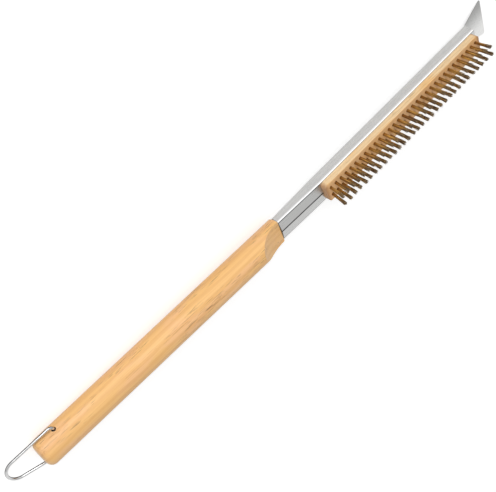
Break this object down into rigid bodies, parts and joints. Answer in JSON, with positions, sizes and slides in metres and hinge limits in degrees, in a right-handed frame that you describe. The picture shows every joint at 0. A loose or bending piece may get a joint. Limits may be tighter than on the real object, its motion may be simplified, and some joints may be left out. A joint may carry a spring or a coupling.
{
  "type": "pizza oven brush",
  "caption": "Oven brush with a turned wooden handle, a wire hanging loop, and a folded steel head that holds a block of brass bristles and ends in a flared scraper.",
  "frame": {"origin": "centre of the flat end of the handle's butt, on the handle's axis", "axes": "+X along the handle towards the scraper, +Y across, +Z towards the bristles"},
  "size_m": [0.5587, 0.0368, 0.0437],
  "materials": {
    "handle_wood": "satin oiled",
    "channel_steel": "brushed",
    "block_wood": "raw planed",
    "bristle_brass": "satin",
    "loop_wire": "bright plated"
  },
  "bodies": {
    "handle": {"handle": "handle_wood"},
    "head": {"scraper_channel": "channel_steel", "bristle_block": "block_wood", "bristle_tufts": "bristle_brass"},
    "loop": {"hanging_loop": "loop_wire"}
  },
  "joints": [
    {"name": "loop_swing", "type": "hinge", "parent": "handle", "child": "loop", "pos_m": [0.0195, 0, 0], "axis": [0, 1, 0], "range_deg": [-140, 153.5]},
    {"name": "head_pull_off", "type": "slide", "parent": "handle", "child": "head", "axis": [1, 0, 0], "range_m": [0, 0.05]}
  ]
}
